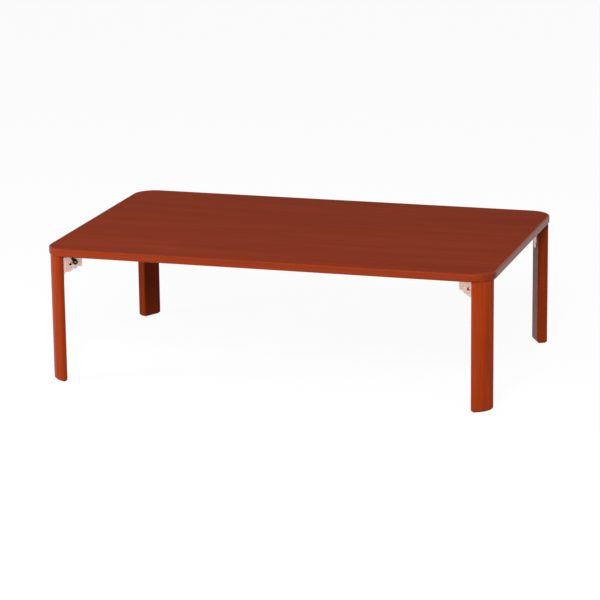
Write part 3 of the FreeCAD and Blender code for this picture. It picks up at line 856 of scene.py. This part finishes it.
@dataclass
class ScrewRows:
    """Countersunk screws in two rows, as one piece for each plate."""

    pitch: float
    gauge: float
    head_radius: float = 3.4 * MM
    shank_radius: float = 1.75 * MM
    length: float = 14 * MM
    tip: float = 3 * MM
    rim: float = 0.2 * MM
    sides: int = 32
    seed: int = 7
    recess_length: float = 3.6 * MM
    recess_width: float = 0.8 * MM
    recess_depth: float = 1 * MM

    def blank(self) -> bpy.types.Object:
        """One turned screw with no recess, its head's face at the origin, pointing up Z."""
        head, shank = self.head_radius, self.shank_radius
        profile = [(0.0, 0.0), (head - self.rim, 0.0), (head, self.rim * 0.6), (shank, TABLE.steel)]
        profile += [(shank, self.length - self.tip), (0.0, self.length)]
        return new_object("screw_blank", lathe(profile, self.sides))

    def make(self, name: str, body: str, node: str, place: Matrix) -> None:
        """Cuts the cross recess and sets the screws out in rows.

        Args:
            name: the piece's name.
            body: the CAD body that it rides on.
            node: the CAD node that it replaces.
            place: the matrix that puts the middle of the rows in place, head down Z.
        """
        blank = self.blank()
        sizes = {
            "Pitch": self.pitch,
            "Gauge": self.gauge,
            "Recess Length": self.recess_length,
            "Recess Width": self.recess_width,
            "Recess Depth": self.recess_depth,
            "Screw": blank,
            "Finish": YELLOW_ZINC.material(),
        }
        tree = Tree(f"{name}_rows", sizes)
        given = tree.given
        spots = tree.add("GeometryNodeMeshGrid", {0: given["Pitch"], 1: given["Gauge"], 2: 2, 3: 2})
        deep = tree.maths("MULTIPLY", given["Recess Depth"], 2.0)
        long, wide = given["Recess Length"], given["Recess Width"]
        turned = tree.add("GeometryNodeObjectInfo", {"Object": given["Screw"]})
        cut = turned.outputs["Geometry"]
        for size in ((long, wide), (wide, long)):
            bar = tree.add("GeometryNodeMeshCube", {0: tree.vector(*size, deep)}).outputs[0]
            cut = tree.add("GeometryNodeMeshBoolean", {0: cut, 1: bar}, operation="DIFFERENCE").outputs[0]
        # Each screw is driven to its own angle; the seed keeps them the same at each run.
        turn = {3: math.tau, "Seed": self.seed}
        angle = tree.add("FunctionNodeRandomValue", turn, data_type="FLOAT")
        rows = tree.add(
            "GeometryNodeInstanceOnPoints",
            {"Points": spots.outputs[0], "Instance": cut, "Rotation": tree.vector(z=angle.outputs[1])},
        )
        real = tree.add("GeometryNodeRealizeInstances", {0: rows.outputs[0]})
        last = tree.add("GeometryNodeSetMaterial", {0: real.outputs[0], "Material": given["Finish"]})
        piece = tree.run(name, last.outputs[0])
        bpy.data.objects.remove(blank)
        piece.data.transform(place)
        smooth(piece)
        fit_out(piece, body, node, YELLOW_ZINC)


@dataclass
class FoldingBracket:
    """A corner's pressed steel, screws and hollow rivet."""

    corner: Corner
    web_from_leg: float = 10 * MM
    screw_from_web_end: float = 8 * MM
    base_pitch: float = 24 * MM
    base_gauge: float = 14 * MM
    leg_screw_depth: float = 46 * MM
    leg_pitch: float = 16 * MM
    leg_gauge: float = 13 * MM
    burr: float = 0.25 * MM
    weld: float = 0.002 * MM
    flat: float = 0.5

    def make(self, frame: dict) -> None:
        """Builds the bracket, the leg's plate, the screws of both and the rivet.
        """
        label = self.corner.label
        self.pressed(frame, f"ear_bracket_{label}", f"base_bracket_{label}", "tabletop")
        self.pressed(frame, f"flanged_plate_{label}", f"leg_plate_{label}", f"leg_{label}")
        self.screws()
        self.hollow_rivet()

    def pressed(self, frame: dict, name: str, node: str, body: str) -> None:
        """Softens the edges of a pressed steel solid, as tumbling and plating do.

        Args:
            name: the new piece's name.
            node: the CAD node whose shape it keeps.
            body: the CAD body that it rides on.
        """
        shape = bmesh.new()
        shape.from_mesh(frame["nodes"][node].data)
        bmesh.ops.remove_doubles(shape, verts=shape.verts, dist=self.weld)
        limit = math.radians(self.flat)
        bmesh.ops.dissolve_limit(shape, angle_limit=limit, verts=shape.verts, edges=shape.edges)
        mesh = bpy.data.meshes.new(name)
        shape.to_mesh(mesh)
        shape.free()
        piece = new_object(name, mesh)
        bevel = piece.modifiers.new("bevel", "BEVEL")
        bevel.width = self.burr
        bevel.segments = 2
        bevel.limit_method = "ANGLE"
        bevel.angle_limit = SHARP_ANGLE
        apply_modifiers(piece)
        smooth(piece)
        fit_out(piece, body, node, BRIGHT_ZINC)

    def screws(self) -> None:
        """The screws up into the top, and those out into the leg."""
        label = self.corner.label
        x = TABLE.leg_face + self.web_from_leg + self.screw_from_web_end + self.base_pitch / 2
        upwards = self.corner.frame() @ Matrix.Translation((x, 0, TABLE.underside - TABLE.steel))
        rows = ScrewRows(self.base_pitch, self.base_gauge)
        rows.make(f"web_screws_{label}", "tabletop", f"base_screws_{label}", upwards)
        z = TABLE.underside - self.leg_screw_depth - self.leg_pitch / 2
        outwards = (
            self.corner.frame()
            @ Matrix.Translation((TABLE.leg_face + TABLE.steel, 0, z))
            @ Matrix.Rotation(math.radians(-90), 4, "Y")
        )
        rows = ScrewRows(self.leg_pitch, self.leg_gauge)
        rows.make(f"plate_screws_{label}", f"leg_{label}", f"leg_screws_{label}", outwards)

    def hollow_rivet(self) -> None:
        """The hollow rivet, rolled over both ears, with painted shade in its bore."""
        label = self.corner.label
        rivet = HollowRivet()
        mesh = lathe(rivet.profile())
        for finish in (RIVET_ZINC, BORE_PAINTED_SHADE):
            mesh.materials.append(finish.material())
        # The faces inside the bore take the second material, the painted bore shade.
        for face in mesh.polygons:
            face.material_index = int(face.center.to_2d().length <= rivet.bore)
        mesh.transform(self.corner.turned(*TABLE.pivot))
        piece = new_object(f"hollow_rivet_{label}", mesh)
        smooth(piece)
        fit_out(piece, "tabletop", f"pivot_pin_{label}", RIVET_ZINC)


@dataclass
class HollowRivet:
    """The pivot: a rivet bored at both ends, whose rims are rolled outwards."""

    radius: float = 4 * MM
    head_radius: float = 5.9 * MM
    head_height: float = 1.9 * MM
    bore: float = 3.1 * MM
    bore_depth: float = 12 * MM
    floor_round: float = 0.4 * MM
    roll: float = 0.8 * MM
    lip: float = 0.5 * MM

    def profile(self) -> list[Point]:
        """Radius and height pairs from one bore's floor to the other's."""
        ear = TABLE.ear_outside
        end = ear + self.head_height
        floor = end - self.bore_depth
        half = [(0.0, floor), (self.bore - self.floor_round, floor), (self.bore, floor + self.floor_round)]
        half += arc((self.bore + self.lip, end - self.lip), self.lip, 180, 90, 6)
        half += arc((self.head_radius - self.roll, end - self.roll), self.roll, 90, 0, 8)
        half += [(self.head_radius, ear), (self.radius, ear)]
        return [(r, -h) for r, h in half] + [(r, h) for r, h in reversed(half)]


@dataclass
class Latch:
    """The latch: a leaf spring riveted to the ear, its pin, and the knob on the pin."""

    corner: Corner
    reach: float = 13.5 * MM
    rise: float = 30.0
    travel: float = 2.4 * MM
    setback: float = 0.2 * MM
    pin_radius: float = 2.1 * MM
    pin_taper: float = 0.5 * MM
    pin_proud: float = 0.4 * MM
    leaf_length: float = 14 * MM
    leaf_width: float = 7 * MM
    leaf: float = 0.8 * MM
    leaf_tail: float = 3 * MM
    leaf_seat: float = 3 * MM
    leaf_burr: float = 0.15 * MM
    tail_round: float = 0.6 * MM
    lean: float = 38.0
    rivet_radius: float = 1.2 * MM
    rivet_head: float = 2.2 * MM
    rivet_height: float = 1 * MM
    knob_radius: float = 7 * MM
    knob_length: float = 6 * MM
    knob_round: float = 1 * MM
    neck_radius: float = 4 * MM
    neck_length: float = 1.8 * MM
    knob_chamfer: float = 0.3 * MM

    @property
    def spot(self) -> Point:
        """X and Z of the pin, in the corner's frame."""
        turn = math.radians(self.rise)
        x, z = TABLE.pivot
        return x + self.reach * math.cos(turn), z + self.reach * math.sin(turn)

    @property
    def rivet_spot(self) -> Point:
        """X and Z of the small rivet that holds the leaf."""
        turn = math.radians(self.lean)
        x, z = self.spot
        return x - self.leaf_length * math.sin(turn), z + self.leaf_length * math.cos(turn)

    @property
    def knob_start(self) -> float:
        """How far out the knob begins, against the lifted leaf."""
        return TABLE.ear_outside + self.travel + self.leaf

    def make(self) -> None:
        """Builds the leaf, its rivet, the pin and the knob."""
        label = self.corner.label
        lock = f"lock_{label}"
        for name, profile, spot, body, node, finish in (
            ("leaf_rivet", self.rivet_profile(), self.rivet_spot, "tabletop", "spring_rivet", BRIGHT_ZINC),
            ("latch_pin", self.pin_profile(), self.spot, lock, "lock_pin", YELLOW_ZINC),
            ("pull_knob", self.knob_profile(), self.spot, lock, "release_knob", BLACK_ABS),
        ):
            mesh = lathe(profile)
            mesh.transform(self.corner.turned(*spot))
            piece = new_object(f"{name}_{label}", mesh)
            smooth(piece)
            fit_out(piece, body, f"{node}_{label}", finish)
        self.leaf_spring()

    def rivet_profile(self) -> list[Point]:
        """A plain shank through the ear, and a domed head on the leaf."""
        inside = TABLE.ear_outside - TABLE.steel
        head = TABLE.ear_outside + self.leaf
        drop = self.rivet_head**2 / (2 * self.rivet_height) - self.rivet_height / 2
        dome = drop + self.rivet_height
        lean = math.degrees(math.atan2(drop, self.rivet_head))
        shank = [(0.0, inside), (self.rivet_radius, inside), (self.rivet_radius, head)]
        crown = arc((0.0, head - drop), dome, lean, 90, 8)[:-1]
        return shank + crown + [(0.0, head + self.rivet_height)]

    def pin_profile(self) -> list[Point]:
        """A pin with a tapered tip, its far end riveted over the knob."""
        tip = TABLE.ear_outside - TABLE.steel + self.setback
        end = self.knob_start + self.neck_length + self.knob_length
        radius, taper, proud = self.pin_radius, self.pin_taper, self.pin_proud
        points = [(0.0, tip), (radius - taper, tip), (radius, tip + taper), (radius, end)]
        points += [(radius - proud * (1 - math.cos(t)), end + proud * math.sin(t)) for t in (0.4, 0.8, 1.2)]
        return points + [(radius - proud, end + proud), (0.0, end + proud)]

    def knob_profile(self) -> list[Point]:
        """A round knob on a short neck, with a bore for the pin."""
        start, neck_end = self.knob_start, self.knob_start + self.neck_length
        end = neck_end + self.knob_length
        core, edge = self.knob_radius - self.knob_round, self.knob_round
        neck, cut = self.neck_radius, self.knob_chamfer
        points = [(self.pin_radius, start), (neck - cut, start), (neck, start + cut), (neck, neck_end)]
        points += arc((core, neck_end + edge), edge, 270, 360, 6)
        points += arc((core, end - edge), edge, 0, 90, 6)
        return points + [(self.pin_radius + cut, end), (self.pin_radius, end - cut)]

    def leaf_spring(self) -> None:
        """The bent strip; it lies on the ear at its rivet and is lifted to the pin at its free end."""
        label = self.corner.label
        x, z = self.spot
        place = (
            self.corner.frame()
            @ Matrix.Translation((x, -TABLE.ear_outside, z))
            @ Matrix.Rotation(-math.radians(self.lean), 4, "Y")
        )
        half, thick = self.leaf_width / 2, self.leaf
        seat, free = self.leaf_length - self.leaf_seat, half
        tail = self.leaf_length + self.leaf_tail
        stations = [-half * math.cos(math.radians(a)) for a in (4, 15, 30, 45, 60, 75, 90)]
        stations += [free * share for share in (0.5, 1.0)]
        stations += [free + (seat - free) * i / 10 for i in range(1, 11)]
        stations += [seat + (tail - seat) * share for share in (0.35, 0.7, 0.9, 0.97, 1.0)]
        rings: list[Ring] = []
        for along in stations:
            reach = math.sqrt(max(half**2 - min(along, 0.0) ** 2, 0.0))
            reach -= max(0.0, along - tail + self.tail_round) / 2
            share = min(max((seat - along) / (seat - free), 0.0), 1.0)
            lift = self.travel * share * share * (3 - 2 * share)
            edge = min(self.leaf_burr, reach / 3)
            section = [(-reach, edge), (-reach + edge, 0.0), (reach - edge, 0.0), (reach, edge)]
            section += [(across, thick - out) for across, out in reversed(section)]
            rings.append([Vector((across, -(lift + out), along)) for across, out in section])
        mesh = loft(rings)
        mesh.transform(place)
        piece = new_object(f"bent_leaf_{label}", mesh)
        smooth(piece)
        piece.data.materials.append(BLUED_STEEL.material())
        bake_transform(piece)
        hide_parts(f"leaf_spring_{label}")
        log.info("%s: blended between the ear and the pin", piece.name)


# The studio.


@dataclass
class Studio:
    """Soft, plain light on a white sweep, and a camera where the photographer stood."""

    place: tuple[float, float, float] = (2.1125, -6.918, 2.046)
    yaw: float = 17.08
    pitch: float = 14.571
    roll: float = -0.687
    lens: float = 166.83
    sensor: float = 36.0
    far: float = 200.0
    sky: float = 0.25
    floor_size: float = 60.0
    floor_bounce: str = "#626262"
    floor_shade: str = "#5A5A5A"
    floor_glow: float = 0.93

    def make(self) -> None:
        """Sets up the camera, lamps, world and floor."""
        self.camera()
        self.lamp("front_softbox", (1.0, -4.6, 2.9), 2.0, 205.0)
        self.lamp("left_softbox", (-2.4, -1.3, 0.9), 0.9, 30.0)
        self.lamp("right_softbox", (1.9, -1.7, 0.4), 0.5, 4.5)
        self.world()
        self.floor()
        bpy.context.scene.view_settings.view_transform = "Standard"

    def camera(self) -> None:
        """The camera at the photograph's place and angle."""
        yaw, pitch, roll = (math.radians(a) for a in (self.yaw, self.pitch, self.roll))
        ahead = Vector((-math.sin(yaw) * math.cos(pitch), math.cos(yaw) * math.cos(pitch), -math.sin(pitch)))
        right = Vector((math.cos(yaw), math.sin(yaw), 0))
        up = right.cross(ahead)
        turned = right * math.cos(roll) + up * math.sin(roll)
        lifted = up * math.cos(roll) - right * math.sin(roll)
        data = bpy.data.cameras.new("camera")
        data.lens = self.lens
        data.sensor_width = self.sensor
        data.clip_end = self.far
        camera = bpy.data.objects.new("camera", data)
        axes = Matrix((turned, lifted, -ahead)).transposed().to_4x4()
        camera.matrix_world = Matrix.Translation(self.place) @ axes
        bpy.context.scene.collection.objects.link(camera)
        bpy.context.scene.camera = camera

    def lamp(self, name: str, spot: tuple[float, float, float], size: float, power: float) -> None:
        """A square softbox that looks at the table.

        Args:
            name: the lamp's name.
            spot: its place.
            size: its side.
            power: its power in watts.
        """
        data = bpy.data.lights.new(name, "AREA")
        data.shape = "SQUARE"
        data.size = size
        data.energy = power
        lamp = bpy.data.objects.new(name, data)
        lamp.location = spot
        aim = Vector((0, 0, TABLE.height / 2)) - Vector(spot)
        lamp.rotation_euler = aim.to_track_quat("-Z", "Y").to_euler()
        bpy.context.scene.collection.objects.link(lamp)

    @staticmethod
    def seen(tree: NodeTree) -> Socket:
        """One where the surface is seen, straight or in a reflection, and zero where it only lights."""
        rays = add_node(tree, "ShaderNodeLightPath").outputs
        total = rays["Is Camera Ray"]
        for kind in ("Is Glossy Ray", "Is Transmission Ray"):
            pair = {0: total, 1: rays[kind]}
            total = add_node(tree, "ShaderNodeMath", pair, operation="MAXIMUM").outputs[0]
        return total

    def world(self) -> None:
        """White where it is seen, and a plain even sky where it lights."""
        world = bpy.data.worlds.new("sky")
        bpy.context.scene.world = world
        world.use_nodes = True
        tree = world.node_tree
        tree.nodes.clear()
        white = hex_colour("#FFFFFF")
        lights, shown = (
            add_node(tree, "ShaderNodeBackground", {"Color": white, "Strength": strength}).outputs[0]
            for strength in (self.sky, 1.0)
        )
        mixed = add_node(tree, "ShaderNodeMixShader", {0: self.seen(tree), 1: lights, 2: shown})
        add_node(tree, "ShaderNodeOutputWorld", {"Surface": mixed.outputs[0]})

    def floor(self) -> None:
        """A pale floor that looks white, and keeps a faint shadow."""
        half = self.floor_size / 2
        mesh = bpy.data.meshes.new("floor")
        corners = [(x * half, y * half, 0) for x, y in ((-1, -1), (1, -1), (1, 1), (-1, 1))]
        mesh.from_pydata(corners, [], [(0, 1, 2, 3)])
        floor = new_object("floor", mesh)
        material = bpy.data.materials.new("white_paper_sweep")
        material.use_nodes = True
        tree = material.node_tree
        tree.nodes.clear()
        bounce, shade = (
            add_node(tree, "ShaderNodeBsdfDiffuse", {"Color": hex_colour(grey)}).outputs[0]
            for grey in (self.floor_bounce, self.floor_shade)
        )
        white = {"Color": hex_colour("#FFFFFF"), "Strength": self.floor_glow}
        glow = add_node(tree, "ShaderNodeEmission", white).outputs[0]
        shown = add_node(tree, "ShaderNodeAddShader", {0: shade, 1: glow}).outputs[0]
        mixed = add_node(tree, "ShaderNodeMixShader", {0: self.seen(tree), 1: bounce, 2: shown})
        add_node(tree, "ShaderNodeOutputMaterial", {"Surface": mixed.outputs[0]})
        mesh.materials.append(material)


def main() -> None:
    """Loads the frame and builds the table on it."""
    logging.basicConfig(level=logging.INFO, format="%(name)s: %(message)s")
    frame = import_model()
    Tabletop().make(frame)
    for corner in Corner:
        Leg(corner).make()
        FoldingBracket(corner).make(frame)
        Latch(corner).make()
    Studio().make()


if __name__ == "__main__":
    main()
